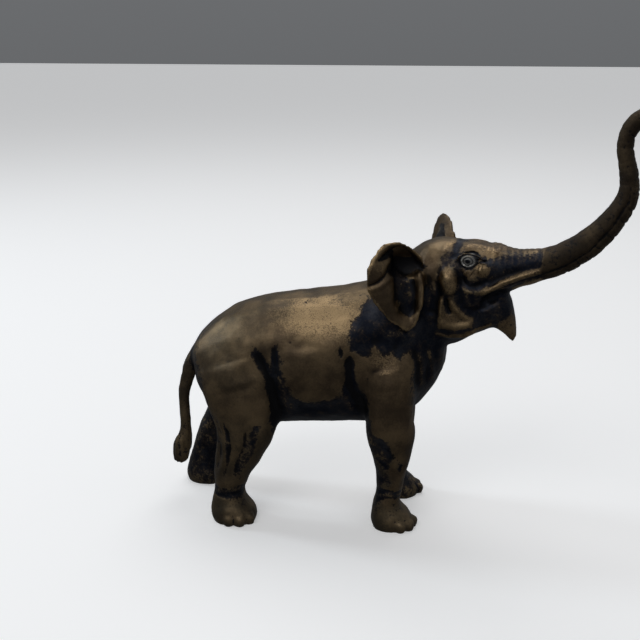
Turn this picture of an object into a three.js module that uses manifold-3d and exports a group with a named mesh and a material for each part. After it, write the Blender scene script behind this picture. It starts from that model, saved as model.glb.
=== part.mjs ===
// A small cast bronze elephant that stands on its own four feet, striding, with its head turned a little to its
// right, its mouth open and its trunk raised. It is one casting, so it is one solid and one mesh.
//
// Units are millimetres. +X points the way the elephant faces, +Y to its left, +Z up, and the ground is z = 0.
// While the casting is built its x = 0 is under the middle of the trunk of the body; the finished group is then
// moved so that its origin is the centre of the underside of its bounding box.
//
// Every limb is a loft through stations. A station is one cross-section, given by the two points where it meets
// the outline in side view, as [x, z], by half its width across, and by how far its centre lies to the left.

import * as THREE from 'three';
import { LoftGeometry } from 'three/addons/geometries/LoftGeometry.js';
import { mergeVertices } from 'three/addons/utils/BufferGeometryUtils.js';
import Module from 'manifold-3d';

// ---- Driving dimensions ----
const BODY_HALF_WIDTH = 18.5;
const HEAD_HALF_WIDTH = 12;
const HEAD_TURN = THREE.MathUtils.degToRad(18); // to the elephant's right, about the neck
const NECK_X = 30; // where the turning axis of the neck stands
const TURN_FROM_X = 20; // the neck starts to turn here and has turned fully at TURN_TO_X
const TURN_TO_X = 38;
const TRUNK_TIP = [97.4, 124.8]; // side view, before the head is turned
const HIP_HEIGHT = 62; // a stepping leg leans from here down
const HIND_STANCE = 13.4; // foot centre to the plane of symmetry
const FORE_STANCE = 11.2;
const HIND_STRIDE = 7.6; // each hind foot is this far before or behind its middle place
const FORE_STRIDE = 1.2;
const LEFT_SHOULDER_SET_BACK = 3; // the head's turn draws the left shoulder back
const EAR_FLARE = THREE.MathUtils.degToRad(50); // between the ear's plane and the side of the head
const LEFT_EAR_FLARE = THREE.MathUtils.degToRad(44);
const EAR_THICKNESS = 2;
const EYE_RADIUS = 1.75;
const TOE_RADIUS = 2;
const SOLE_DEPTH = 0.8; // the feet are modelled this far below the ground, then cut off flat by it

const RIGHT = -1;
const LEFT = 1;

const wasm = await Module();
wasm.setup();

// ---- Lofts ----

// A smooth curve through one value of every station, read at the station's own number.
function through(stations, value) {
  const curve = new THREE.CatmullRomCurve3(stations.map((station) => new THREE.Vector3(...value(station))));
  return (at) => curve.getPoint(at / (stations.length - 1));
}

// A point of a superellipse of half-axes 1: 2 is a circle, and more is squarer.
function roundedSquare(angle, squareness) {
  const swell = (value) => Math.sign(value) * Math.abs(value) ** (2 / squareness);
  return [swell(Math.cos(angle)), swell(Math.sin(angle))];
}

// A loft through the stations. rings(at), the number of rings to a station, and around set its fineness; startDome
// and endDome are how far its rounded ends stand out past the first and last station; swell(at, angle) grows a
// section, 1 being unchanged.
function loft(stations, { rings, around, startDome = 0, endDome = 0, squareness = 2.2, swell = () => 1 }) {
  const upper = through(stations, ({ a }) => [a[0], 0, a[1]]);
  const lower = through(stations, ({ b }) => [b[0], 0, b[1]]);
  const across = through(stations, ({ half, side = 0 }) => [half, side, 0]);
  const centreAt = (at) => upper(at).add(lower(at)).multiplyScalar(0.5).setY(across(at).y);
  const section = (at, scale = 1, shift = new THREE.Vector3()) => {
    const centre = centreAt(at).add(shift);
    const up = upper(at).sub(lower(at)).multiplyScalar(0.5 * scale);
    const half = across(at).x * scale;
    return Array.from({ length: around }, (_, i) => {
      const angle = (2 * Math.PI * i) / around;
      const [sideways, upwards] = roundedSquare(angle, squareness);
      const grown = swell(at, angle);
      return centre
        .clone()
        .addScaledVector(up, upwards * grown)
        .add(new THREE.Vector3(0, half * sideways * grown, 0));
    });
  };
  const last = stations.length - 1;
  const dome = (at, length, outwards) => {
    const away = centreAt(at).sub(centreAt(at + (at > 0 ? -0.2 : 0.2))).normalize();
    const angles = [0.3, 0.6, 0.85].map((share) => (share * Math.PI) / 2);
    const domed = angles.map((t) => section(at, Math.cos(t), away.clone().multiplyScalar(length * Math.sin(t))));
    return outwards ? domed : domed.reverse();
  };
  const body = [];
  for (let at = 0; at < last - 0.1; at += 1 / rings(at)) body.push(section(at));
  body.push(section(last));
  const start = startDome ? dome(0, startDome, false) : [];
  const end = endDome ? dome(last, endDome, true) : [];
  const sections = [...start, ...body, ...end];
  // The sections must run anticlockwise as seen from the end of the loft.
  const facing = new THREE.Vector3(0, 1, 0).cross(upper(0).sub(lower(0)));
  const outwards = facing.dot(centreAt(0.5).sub(centreAt(0))) > 0;
  return new LoftGeometry(outwards ? sections : sections.map((ring) => ring.toReversed()), {
    capStart: true,
    capEnd: true,
  });
}

// An ellipsoid, for a swelling such as a cheek or a toe.
function swelling(centre, radii, { turn = [0, 0, 0], around = 9, high = 6 } = {}) {
  return new THREE.SphereGeometry(1, around, high)
    .scale(...radii)
    .applyMatrix4(new THREE.Matrix4().makeRotationFromEuler(new THREE.Euler(...turn)))
    .translate(...centre);
}

// ---- Solids ----

// Turns a closed geometry into a solid. A mirrored loft winds the other way, and is turned the right way out.
function solid(geometry) {
  const bare = new THREE.BufferGeometry().setAttribute('position', geometry.getAttribute('position'));
  bare.setIndex(geometry.getIndex());
  const merged = mergeVertices(bare, 1e-4);
  const triVerts = new Uint32Array(merged.index.array);
  const vertProperties = merged.attributes.position.array;
  const made = new wasm.Manifold(new wasm.Mesh({ numProp: 3, vertProperties, triVerts }));
  if (made.volume() > 0) return made;
  for (let i = 0; i < triVerts.length; i += 3) {
    [triVerts[i + 1], triVerts[i + 2]] = [triVerts[i + 2], triVerts[i + 1]];
  }
  return new wasm.Manifold(new wasm.Mesh({ numProp: 3, vertProperties, triVerts }));
}

const joined = (solids) => solids.reduce((whole, piece) => whole.add(piece));

// ---- The turned head ----

// Moves a geometry's points one by one.
function reshape(geometry, move) {
  const position = geometry.getAttribute('position');
  const point = new THREE.Vector3();
  for (let i = 0; i < position.count; i += 1) {
    move(point.fromBufferAttribute(position, i));
    position.setXYZ(i, point.x, point.y, point.z);
  }
  return geometry;
}

// The neck bends about its upright axis, and all in front of it turns with it. What is rigid turns as one.
function turned(geometry, rigid = false) {
  return reshape(geometry, (point) => {
    const angle = -HEAD_TURN * (rigid ? 1 : THREE.MathUtils.smoothstep(point.x, TURN_FROM_X, TURN_TO_X));
    const forward = point.x - NECK_X;
    const sideways = point.y;
    point.x = NECK_X + forward * Math.cos(angle) - sideways * Math.sin(angle);
    point.y = forward * Math.sin(angle) + sideways * Math.cos(angle);
  });
}

// ---- Body ----

function torso() {
  const width = BODY_HALF_WIDTH;
  return loft(
    [
      { a: [-39.2, 51.5], b: [-37.6, 44], half: 0.3 * width },
      { a: [-37, 56], b: [-36.4, 38.5], half: 0.6 * width },
      { a: [-32, 61], b: [-33, 32.6], half: 0.79 * width },
      { a: [-24, 66], b: [-27, 29.4], half: 0.91 * width },
      { a: [-14, 68.8], b: [-16, 28.3], half: 0.97 * width },
      { a: [-3, 70.4], b: [-4, 29.2], half: width },
      { a: [8, 72], b: [7, 30], half: 0.97 * width },
      { a: [17, 74.5], b: [17, 30.4], half: 0.9 * width },
      { a: [24, 77.5], b: [25.6, 32.6], half: 0.8 * width },
      { a: [30, 78], b: [33.2, 39.2], half: 0.68 * width },
      { a: [34, 73], b: [37.2, 47], half: 0.54 * width },
    ],
    { rings: () => 1.5, around: 24, startDome: 1.4, endDome: 2.4, squareness: 2.15 },
  );
}

function tail() {
  return loft(
    [
      { a: [-38.2, 54], b: [-32, 48.4], half: 3.4 },
      { a: [-42.5, 47], b: [-37.8, 44.4], half: 2.5 },
      { a: [-44.4, 40.6], b: [-40.4, 39], half: 1.9 },
      { a: [-45.3, 34], b: [-41.7, 33], half: 1.7 },
      { a: [-45, 27], b: [-41.6, 27], half: 1.6 },
      { a: [-45.6, 22], b: [-41.3, 22], half: 1.9 },
      { a: [-47.7, 17], b: [-41.7, 17], half: 2.5 },
      { a: [-47.7, 13.2], b: [-42.7, 13.2], half: 2.1 },
    ],
    { rings: () => 2, around: 10, endDome: 2.2 },
  );
}

// ---- Legs ----

// A leg's stations, from the hip down to the sole, for a foot in its middle place.
const HIND_LEG = [
  { a: [-17, 60], b: [-33, 56], half: 5.4, side: 7 },
  { a: [-11, 49], b: [-37.2, 46.5], half: 7.3, side: 11.3 },
  { a: [-12, 39], b: [-35.7, 37.5], half: 7.3, side: 12.4 },
  { a: [-14.9, 31], b: [-33.9, 30], half: 6.9, side: 13 },
  { a: [-18.6, 24.5], b: [-34.9, 24.5], half: 6.3, side: HIND_STANCE },
  { a: [-24.6, 16.6], b: [-37, 17], half: 5.6, side: HIND_STANCE },
  { a: [-28.4, 11.2], b: [-37.8, 10.6], half: 5.2, side: HIND_STANCE },
  { a: [-28.4, 6.6], b: [-38.9, 6.2], half: 6, side: HIND_STANCE },
  { a: [-25, 2.6], b: [-39.8, 2.4], half: 7.3, side: HIND_STANCE },
  { a: [-25.8, -SOLE_DEPTH], b: [-39, -SOLE_DEPTH], half: 6.6, side: HIND_STANCE },
];

const FORE_LEG = [
  { a: [31, 60], b: [17.5, 61], half: 5.2, side: 6.4 },
  { a: [31.6, 51], b: [14.4, 51.5], half: 7.4, side: 10.4 },
  { a: [30, 42.5], b: [14.4, 42.5], half: 7.5, side: 11.4 },
  { a: [30.2, 35], b: [15.8, 34.6], half: 6.9, side: 11.8 },
  { a: [31, 28.6], b: [16.4, 27.6], half: 6.5, side: 11.8 },
  { a: [29.4, 21], b: [19.2, 21], half: 5.2, side: 11.4 },
  { a: [28, 12], b: [20, 11.6], half: 4.8, side: FORE_STANCE },
  { a: [26.8, 7.4], b: [19, 7], half: 5.2, side: FORE_STANCE },
  { a: [31.8, 2.8], b: [18.4, 2.6], half: 6.6, side: FORE_STANCE },
  { a: [31, -SOLE_DEPTH], b: [18.7, -SOLE_DEPTH], half: 6.2, side: FORE_STANCE },
];

// A leg on one side. Its foot is set forward by stride and its top by start, and the leg leans between them.
function leg(stations, side, stride, start = 0) {
  const lean = ([x, z]) => [x + THREE.MathUtils.lerp(stride, start, THREE.MathUtils.smoothstep(z, 0, HIP_HEIGHT)), z];
  const leaning = stations.map((station) => ({
    a: lean(station.a),
    b: lean(station.b),
    half: station.half,
    side: side * station.side,
  }));
  return loft(leaning, { rings: () => 1.3, around: 14, startDome: 3, squareness: 2.15 });
}

// The toes stand in an arc round the foot. facing is the bearing of the middle toe, from straight ahead outwards.
function toes(side, centre, radii, facing) {
  return [-1, 0, 1].map((place) => {
    const bearing = THREE.MathUtils.degToRad(facing + place * 33);
    const reach = 0.84;
    const at = [
      centre[0] + reach * radii[0] * Math.cos(bearing),
      side * (centre[1] + reach * radii[1] * Math.sin(bearing)),
      0.9 * TOE_RADIUS,
    ];
    return swelling(at, [TOE_RADIUS, TOE_RADIUS, 1.1 * TOE_RADIUS], { around: 6, high: 4 });
  });
}

function legs() {
  const pieces = [
    leg(HIND_LEG, RIGHT, HIND_STRIDE),
    leg(HIND_LEG, LEFT, -HIND_STRIDE),
    leg(FORE_LEG, RIGHT, -FORE_STRIDE),
    leg(FORE_LEG, LEFT, -0.4 * FORE_STRIDE, -LEFT_SHOULDER_SET_BACK),
    ...toes(RIGHT, [-32.2 + HIND_STRIDE, HIND_STANCE], [7.6, 7.3], 66),
    ...toes(LEFT, [-32.2 - HIND_STRIDE, HIND_STANCE], [7.6, 7.3], 40),
    ...toes(RIGHT, [25.9 - FORE_STRIDE, FORE_STANCE], [6.8, 6.6], 32),
    ...toes(LEFT, [25.9 - 0.4 * FORE_STRIDE, FORE_STANCE], [6.8, 6.6], 32),
  ];
  return joined(pieces.map(solid));
}

// ---- Head ----

// The head and the trunk are one loft, from inside the neck to the trunk's tip. Folds ring the trunk.
function headAndTrunk() {
  const width = HEAD_HALF_WIDTH;
  const stations = [
    { a: [14, 72], b: [26, 46], half: width },
    { a: [21, 79.5], b: [32, 50], half: 1.05 * width },
    { a: [27.6, 84.4], b: [36.8, 54.6], half: 1.02 * width },
    { a: [33.5, 88], b: [41.6, 56.8], half: width },
    { a: [39.5, 88.3], b: [46.6, 60], half: 0.94 * width },
    { a: [45.5, 88], b: [50.4, 67], half: 0.81 * width },
    { a: [51, 87.6], b: [53.8, 72.4], half: 0.65 * width },
    { a: [57.5, 86.6], b: [58.7, 75.5], half: 6.2 },
    { a: [64.6, 87.4], b: [66.2, 78.8], half: 5 },
    { a: [70, 89.7], b: [73, 81.9], half: 4.4 },
    { a: [76, 94], b: [79.6, 86.8], half: 4.1 },
    { a: [81.2, 99.4], b: [85.4, 94], half: 3.8 },
    { a: [84.3, 105], b: [89.3, 102.2], half: 3.3 },
    { a: [84.1, 110.4], b: [89.2, 109], half: 2.9 },
    { a: [82.9, 115.6], b: [87.4, 114.9], half: 2.6 },
    { a: [83, 119.2], b: [87.1, 118.2], half: 2.5 },
    { a: [84.6, 123.4], b: [88.2, 120.8], half: 2.4 },
    { a: [88, 126.5], b: [90.2, 122.8], half: 2.4 },
    { a: [92.6, 127.7], b: [93.3, 123.2], half: 2.4 },
    { a: [TRUNK_TIP[0], TRUNK_TIP[1] + 2.4], b: [TRUNK_TIP[0] - 0.6, TRUNK_TIP[1] - 2.4], half: 2.7 },
  ];
  const firstFold = 6.5;
  const rings = (at) => (at < firstFold ? 1.6 : 3.6);
  const foldsPerStation = 1.25;
  const fold = (at) => (at < firstFold ? 1 : 1 + 0.05 * Math.abs(Math.sin(Math.PI * foldsPerStation * at)));
  return loft(stations, { rings, around: 14, endDome: 0.8, squareness: 2.2, swell: fold });
}

// The lower jaw hangs open and ends in a pointed lip.
function jaw() {
  return loft(
    [
      { a: [46, 78], b: [44.6, 59.3], half: 7.6 },
      { a: [52, 76], b: [49.4, 61.5], half: 6.8 },
      { a: [56, 74.4], b: [53, 63.4], half: 5.4 },
      { a: [58, 69.6], b: [55.2, 62.6], half: 4 },
      { a: [59, 65.2], b: [57, 61.2], half: 2.4 },
      { a: [59.3, 61.5], b: [58.2, 59.8], half: 1 },
    ],
    { rings: () => 2, around: 14, endDome: 0.5 },
  );
}

// A bead along a curve, such as a lip or a brow. Its radius swells from nothing at both ends.
function bead(points, radius) {
  const curve = new THREE.CatmullRomCurve3(points.map((point) => new THREE.Vector3(...point)));
  const steps = 7;
  const around = 6;
  const rings = Array.from({ length: steps + 1 }, (_, i) => {
    const t = i / steps;
    const centre = curve.getPoint(t);
    const along = curve.getTangent(t);
    const sideways = new THREE.Vector3(0, 1, 0).cross(along).normalize();
    const upwards = along.clone().cross(sideways);
    const thick = radius * (0.25 + 0.75 * Math.sin(Math.PI * t));
    return Array.from({ length: around }, (_, j) => {
      const angle = (2 * Math.PI * j) / around;
      return centre
        .clone()
        .addScaledVector(sideways, thick * Math.cos(angle))
        .addScaledVector(upwards, thick * Math.sin(angle));
    });
  });
  return new LoftGeometry(rings, { capStart: true, capEnd: true });
}

function features(side) {
  const lip = bead(
    [
      [49.6, side * 8, 73.8],
      [53.8, side * 7.2, 75.8],
      [58, side * 6, 78.2],
      [64, side * 4.8, 80.8],
      [71, side * 4, 84],
    ],
    1.1,
  );
  const brow = bead(
    [
      [42.4, side * 9, 83.4],
      [44.8, side * 8.6, 85.2],
      [48, side * 8, 85.4],
      [51.8, side * 7, 84],
    ],
    0.85,
  );
  const eye = swelling([46.8, side * 7.9, 84], [EYE_RADIUS, 1.3, 0.8 * EYE_RADIUS], { around: 10, high: 6 });
  const socket = new THREE.TorusGeometry(1.2 * EYE_RADIUS, 0.42, 4, 11)
    .scale(1, 0.8, 1)
    .rotateX(Math.PI / 2)
    .translate(46.8, side * 8.5, 84);
  const cheek = swelling([42, side * 9.6, 78], [3, 2.4, 4.6]);
  const underEye = swelling([50.6, side * 6.9, 81.2], [2.4, 2, 1.7], { around: 10, high: 6 });
  const jowl = swelling([43, side * 6.2, 65.2], [7.6, 3.8, 4.8]);
  const dome = swelling([35.5, side * 4.6, 82.6], [6.5, 5, 5.2]);
  return [lip, brow, eye, socket, cheek, underEye, jowl, dome];
}

// The corner of the open mouth, a hollow below the lip on each side.
function mouthCorner(side) {
  return swelling([54.4, side * 7, 73.6], [4.6, 3.6, 2], { turn: [0, -0.5, 0] });
}

function nostril(side) {
  return swelling([TRUNK_TIP[0] + 1, side * 1.05, TRUNK_TIP[1] + 0.2], [1.6, 0.75, 1], { around: 8, high: 6 });
}

// ---- Ears ----

// The ear's outline in its own plane: s runs back and outwards from where its upper front corner joins the head,
// and t runs up.
const EAR_OUTLINE = [
  [0.4, 0.6],
  [3.3, 3.5],
  [8.2, 6.8],
  [12.8, 7.9],
  [15.9, 6.4],
  [18.8, 2],
  [20, -1.9],
  [19, -6],
  [13.6, -13.4],
  [9.4, -16.5],
  [5.9, -18.1],
  [3.5, -14],
  [2.7, -6],
  [1.6, -1.5],
];
const EAR_CENTRE = [9.6, -3.8];

// How far the ear's face stands out of its plane: a deep cavity under the top rim, a channel running down from it,
// a broad raised band behind the channel and a raised strip before it.
function earRelief(s, t) {
  const bump = (value, centre, spread) => Math.exp(-(((value - centre) / spread) ** 2));
  const cavity = -5.2 * bump(s, 6.8, 4.4) * bump(t, 0.8, 3.3);
  const lengthwise = THREE.MathUtils.smoothstep(t, -16.5, -12) * (1 - THREE.MathUtils.smoothstep(t, -2, 3));
  const channel = -2.6 * bump(s, 8.4 + 0.16 * (t + 6), 2.3) * lengthwise;
  const band = 0.8 * bump(s, 14.6, 3) * bump(t, -7, 6);
  const strip = 1.3 * bump(s, 3.9, 1.1) * bump(t, -9, 6);
  return cavity + channel + band + strip;
}

// The ear is a round lens drawn out to its outline: both faces follow the relief, the ear's thickness apart.
function ear(side) {
  const outline = new THREE.CatmullRomCurve3(
    EAR_OUTLINE.map(([s, t]) => new THREE.Vector3(s, t, 0)),
    true,
  );
  const flare = side === LEFT ? LEFT_EAR_FLARE : EAR_FLARE;
  const root = new THREE.Vector3(side === LEFT ? 39 : 36.6, side * 11, side === LEFT ? 82.5 : 82);
  const back = new THREE.Vector3(-Math.cos(flare), side * Math.sin(flare), 0);
  const out = new THREE.Vector3(Math.sin(flare), side * Math.cos(flare), 0);
  return reshape(new THREE.SphereGeometry(1, 26, 12), (point) => {
    const edge = Math.hypot(point.x, point.z);
    const turn = Math.atan2(point.z, point.x) / (2 * Math.PI);
    const rim = outline.getPoint((turn + 1) % 1);
    const s = THREE.MathUtils.lerp(EAR_CENTRE[0], rim.x, edge);
    const t = THREE.MathUtils.lerp(EAR_CENTRE[1], rim.y, edge);
    const across = 0.5 * EAR_THICKNESS * Math.sign(point.y) * Math.sqrt(Math.abs(point.y));
    const height = earRelief(s, t) + across;
    point.copy(root).addScaledVector(back, s).addScaledVector(out, height);
    point.z = root.z + t;
  });
}

// What joins the ear to the side of the head, behind its strip and cup.
function earRoot(side) {
  return swelling([32.6, side * 11.4, 77], [3.2, 3.4, 6.6], { turn: [0, 0, side * -0.7] });
}

function head() {
  const pieces = [turned(headAndTrunk()), turned(jaw())];
  const hollows = [];
  for (const side of [RIGHT, LEFT]) {
    pieces.push(...features(side).map((piece) => turned(piece)));
    pieces.push(turned(ear(side), true), turned(earRoot(side), true));
    hollows.push(turned(mouthCorner(side)), turned(nostril(side)));
  }
  const whole = joined(pieces.map(solid));
  return hollows.reduce((rest, hollow) => rest.subtract(solid(hollow)), whole);
}

// ---- The casting ----

function casting() {
  const whole = joined([solid(torso()), solid(tail()), legs(), head()]);
  const ground = solid(new THREE.BoxGeometry(300, 200, 20).translate(0, 0, -10));
  return whole.subtract(ground);
}

// A solid's surface as a geometry, moved so that the centre of its box's underside is the origin.
function geometryOf(made) {
  const { numProp, numVert, vertProperties, triVerts } = made.getMesh();
  const points = new Float32Array(numVert * 3);
  for (let i = 0; i < numVert; i += 1) {
    points.set(vertProperties.subarray(i * numProp, i * numProp + 3), i * 3);
  }
  const geometry = new THREE.BufferGeometry();
  geometry.setAttribute('position', new THREE.BufferAttribute(points, 3));
  geometry.setIndex(new THREE.BufferAttribute(triVerts, 1));
  geometry.computeBoundingBox();
  const { min, max } = geometry.boundingBox;
  return geometry.translate(-(min.x + max.x) / 2, -(min.y + max.y) / 2, -min.z);
}

const bronze = new THREE.MeshStandardMaterial({ color: 0x3a2f22, roughness: 0.45, metalness: 0.9 });

const elephant = new THREE.Mesh(geometryOf(casting()), bronze);
elephant.name = 'elephant';
elephant.geometry.computeVertexNormals();

const group = new THREE.Group();
group.add(elephant);

export default group;
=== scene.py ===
"""A small bronze elephant cast in one piece: fine modelling and a worn patina, on a studio stage."""

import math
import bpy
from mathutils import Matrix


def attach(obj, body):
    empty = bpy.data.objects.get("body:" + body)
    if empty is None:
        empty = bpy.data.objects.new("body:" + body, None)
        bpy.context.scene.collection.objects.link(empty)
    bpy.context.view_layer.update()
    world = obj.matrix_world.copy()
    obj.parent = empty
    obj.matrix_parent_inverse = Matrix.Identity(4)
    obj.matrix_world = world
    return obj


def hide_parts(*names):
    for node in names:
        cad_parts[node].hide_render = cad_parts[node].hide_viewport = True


bl_info = {
    "name": "Aged Bronze Elephant",
    "version": (1, 0, 0),
    "blender": (4, 5, 0),
    "location": "3D View > Sidebar > Elephant",
    "description": "Models a small cast bronze elephant with a worn black patina, on a pale studio floor",
    "category": "Add Mesh",
}

from types import SimpleNamespace

import bpy
import numpy as np
from mathutils import Matrix, Vector, noise
from mathutils.bvhtree import BVHTree

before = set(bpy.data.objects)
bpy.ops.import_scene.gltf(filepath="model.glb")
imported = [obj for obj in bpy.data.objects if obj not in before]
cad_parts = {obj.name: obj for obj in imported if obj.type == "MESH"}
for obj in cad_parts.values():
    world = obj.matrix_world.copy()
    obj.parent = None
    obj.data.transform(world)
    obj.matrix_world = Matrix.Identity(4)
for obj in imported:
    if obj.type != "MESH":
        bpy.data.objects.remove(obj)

CAD_NODE = "elephant"
MM = 0.001
ON_GROUND = 0.00001  # a point lower than this, in metres, is on a sole
SOLE_FLAT, SOLE_TOP = 0.45 * MM, 1.4 * MM  # flat up to the first height, as it was from the second
# The body's own frame, in millimetres: +X forwards, with its origin on the ground under the body.
BODY_ORIGIN = np.array((-23.652, -0.968, 0.0))
NECK = (30.0, 0.0)  # the head turns about the upright axis here
RIGHT, LEFT = -1, 1
EAR_ROOTS = {RIGHT: (36.6, -11.0, 82.0), LEFT: (39.0, 11.0, 82.5)}
EAR_SWELL = {RIGHT: 0.075, LEFT: 0.13}  # how much each ear is widened in its own plane
# Places on an ear, in its own plane: back and up from its root.
EAR_MIDDLE = (9.6, -3.8)
EAR_KNOB = (9.6, -10.6)
EAR_OUTLINE = (
    (0.0, 1.2), (3.0, 4.4), (8.0, 7.8), (12.9, 8.9), (16.4, 7.2), (19.8, 2.4), (21, -1.9), (20, -6.4),
    (14.4, -14.2), (9.8, -17.4), (5.7, -19.2), (2.6, -14.4), (1.8, -6), (0.6, -1.5),
)
EAR_CUP = (
    (16.6, 3.2), (15.2, 4.6), (13.3, 5.8), (11.6, 6.5), (8.2, 6.1), (5.4, 4.0), (2.7, 1.6), (-0.1, -0.6),
    (1.3, -1.6), (3.3, -1.3), (4.7, -2.3), (6.8, -2.9), (8.2, -1.6), (8.9, -0.1), (10.2, 2.3),
    (12.7, 3.2), (15.1, 2.9),
)
EAR_CHANNEL = (
    (13.2, 1.2), (10.2, 2.4), (8.9, 0), (8.2, -1.6), (6.8, -2.9), (5, -3.2), (4.4, -5), (4.4, -9),
    (4.3, -12.9), (5.8, -14.4), (8.2, -12.8), (10.4, -10.5), (11.5, -8.1), (11.3, -6.2), (10.8, -2.8),
    (11.6, -1.5), (13.3, -0.6),
)
# Places on the head, in its side view with its turn undone. TRUNK_LINE runs from the mouth to the tip.
TRUNK_LINE = (
    (52.4, 80), (58.1, 81.1), (65.4, 83.1), (71.5, 85.8), (77.8, 90.4), (83.3, 96.7), (86.8, 103.6),
    (86.7, 109.7), (85.1, 115.3), (85.0, 118.7), (86.4, 122.1), (89.1, 124.7), (93.0, 125.4),
    (98.5, 124.8),
)
TRUNK_EDGE = ((58.7, 77.4), (66.2, 80.9), (72.6, 84.0), (78.8, 88.8), (84.2, 95.8), (87.8, 103), (87.9, 109))
TRUNK_KEEL = ((58.7, 76.0), (66.2, 79.4), (73, 82.4), (79.6, 87.2), (85.6, 94.2), (89.4, 102.4), (89.4, 109))
EYE = (46.9, 83.9)
EYE_SIZE = (2.0, 1.56)
EYE_TILT = (0.985, 0.17)  # its cosine and sine
# Each foot's middle, the bearing of its middle toe in degrees outwards from straight ahead, and its radius.
FEET = ((-24.6, -13.4, 66, 7.4), (-39.8, 13.4, 40, 7.4), (24.0, -11.2, 32, 6.9), (24.7, 11.2, 32, 6.9))
FADE = 0.18  # the share of a stroke's length over which each end fades out
WEIGHT_STEPS = 20  # a vertex group's weights are rounded to this many steps
# What the material reads at each point: worn, shining (rubbed, and a painted highlight), cool in tone (and a
# painted reflection), hollow (and painted shade), rough, and the eyes' rings.
LAYERS = ("wear", "shine", "cool", "cavity", "grain", "ring")
# Each lamp's name, place over the body's origin in metres, width, power and colour.
LAMPS = (
    ("key", (-0.16, -0.46, 0.62), 0.34, 0.85, (1.0, 1.0, 1.0)),
    ("window", (-0.66, 0.14, 0.44), 0.14, 1.1, (0.85, 0.93, 1.0)),
    ("over", (0.0, 0.35, 0.8), 0.6, 1.9, (1.0, 1.0, 1.0)),
)
LAMP_AIM = (0.0, 0.0, 0.06)
SKY_COLOUR = (0.93, 0.96, 1.0, 1)
SKY_STRENGTH = {"From Min": -0.5, "From Max": 0.6, "To Min": 0.08, "To Max": 0.24}
CAMERA_AZIMUTH, CAMERA_PITCH = math.radians(8), math.radians(17)
CAMERA_AIM = (0.0, 0.0, 0.061)
CAMERA_DISTANCE = 0.3
LENS = 55.7


# ---------------------------------------------------------------- settings


class ElephantSettings(bpy.types.PropertyGroup):
    """The sizes and colours of the bronze elephant and its stage."""

    head_turn: bpy.props.FloatProperty(
        name="Head turn",
        description="How far the head is turned to its right",
        default=math.radians(18),
        subtype="ANGLE",
        unit="ROTATION",
    )
    ear_flare: bpy.props.FloatProperty(
        name="Right ear flare",
        description="Between the right ear and the side of the head",
        default=math.radians(50),
        subtype="ANGLE",
        unit="ROTATION",
    )
    left_ear_flare: bpy.props.FloatProperty(
        name="Left ear flare",
        description="Between the left ear and the side of the head",
        default=math.radians(44),
        subtype="ANGLE",
        unit="ROTATION",
    )
    grain_size: bpy.props.FloatProperty(
        name="Mesh size", description="Edge length of the fine mesh", default=0.00076, unit="LENGTH"
    )
    fold_depth: bpy.props.FloatProperty(
        name="Fold depth",
        description="Scale of the modelled folds and creases",
        default=1.0,
        min=0.0,
        max=2.0,
    )
    # also the colour of the painted shade in the hollows
    black: bpy.props.FloatVectorProperty(
        name="Black patina",
        description="Colour of the unworn patina",
        default=(0.012, 0.0115, 0.0125),
        subtype="COLOR",
        size=3,
    )
    blue: bpy.props.FloatVectorProperty(
        name="Blue-black patina",
        description="Colour of the patina where it is thick",
        default=(0.009, 0.0115, 0.02),
        subtype="COLOR",
        size=3,
    )
    slate: bpy.props.FloatVectorProperty(
        name="Slate patina",
        description="Colour of the thin grey patina",
        default=(0.05, 0.052, 0.06),
        subtype="COLOR",
        size=3,
    )
    brown: bpy.props.FloatVectorProperty(
        name="Brown bronze",
        description="Colour of worn bronze",
        default=(0.105, 0.074, 0.047),
        subtype="COLOR",
        size=3,
    )
    # also the colour of the painted reflection on the haunch
    olive: bpy.props.FloatVectorProperty(
        name="Olive bronze",
        description="Colour of worn bronze under old wax",
        default=(0.095, 0.084, 0.06),
        subtype="COLOR",
        size=3,
    )
    # also the colour of the painted highlight on the shoulder
    gold: bpy.props.FloatVectorProperty(
        name="Rubbed bronze",
        description="Colour of the bronze where it is rubbed bright",
        default=(0.4, 0.28, 0.15),
        subtype="COLOR",
        size=3,
    )
    silver: bpy.props.FloatVectorProperty(
        name="Eye rings",
        description="Colour of the pale rings of the eyes",
        default=(0.42, 0.41, 0.38),
        subtype="COLOR",
        size=3,
    )
    floor_colour: bpy.props.FloatVectorProperty(
        name="Floor",
        description="Colour of the studio floor",
        default=(0.86, 0.86, 0.86),
        subtype="COLOR",
        size=3,
    )


# ---------------------------------------------------------------- numbers on the surface


def smooth(value, low, high):
    """0 below low and 1 above high, with a soft step between. low may be above high."""
    share = np.clip((value - low) / (high - low), 0.0, 1.0)
    return share * share * (3 - 2 * share)


def bell(value, centre, spread):
    """1 at the centre, falling away on both sides."""
    return np.exp(-(((value - centre) / spread) ** 2))


def to_path(points, path):
    """Each point's distance to a polyline, and how far along it the nearest place is, from 0 to 1."""
    path = np.asarray(path, float)
    best = np.full(len(points), 1e9)
    along = np.zeros(len(points))
    lengths = np.linalg.norm(np.diff(path, axis=0), axis=1)
    starts = np.concatenate(((0.0,), np.cumsum(lengths)))
    for start, end, length, before in zip(path[:-1], path[1:], lengths, starts):
        share = np.clip(((points - start) @ (end - start)) / length**2, 0.0, 1.0)
        distance = np.linalg.norm(points - (start + share[:, None] * (end - start)), axis=1)
        nearer = distance < best
        best[nearer] = distance[nearer]
        along[nearer] = (before + share[nearer] * length) / starts[-1]
    return best, along


def inside(points, outline, edge):
    """1 inside a closed outline and 0 outside it, with a soft edge of that half-width."""
    outline = np.asarray(outline, float)
    distance, _ = to_path(points, np.vstack((outline, outline[:1])))
    odd = np.zeros(len(points), bool)
    x, y = points.T
    for (ax, ay), (bx, by) in zip(outline, np.roll(outline, -1, axis=0)):
        if ay == by:
            continue
        crosses = (ay > y) != (by > y)
        odd ^= crosses & (x < ax + (y - ay) * (bx - ax) / (by - ay))
    return smooth(np.where(odd, distance, -distance), -edge, edge)


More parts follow.
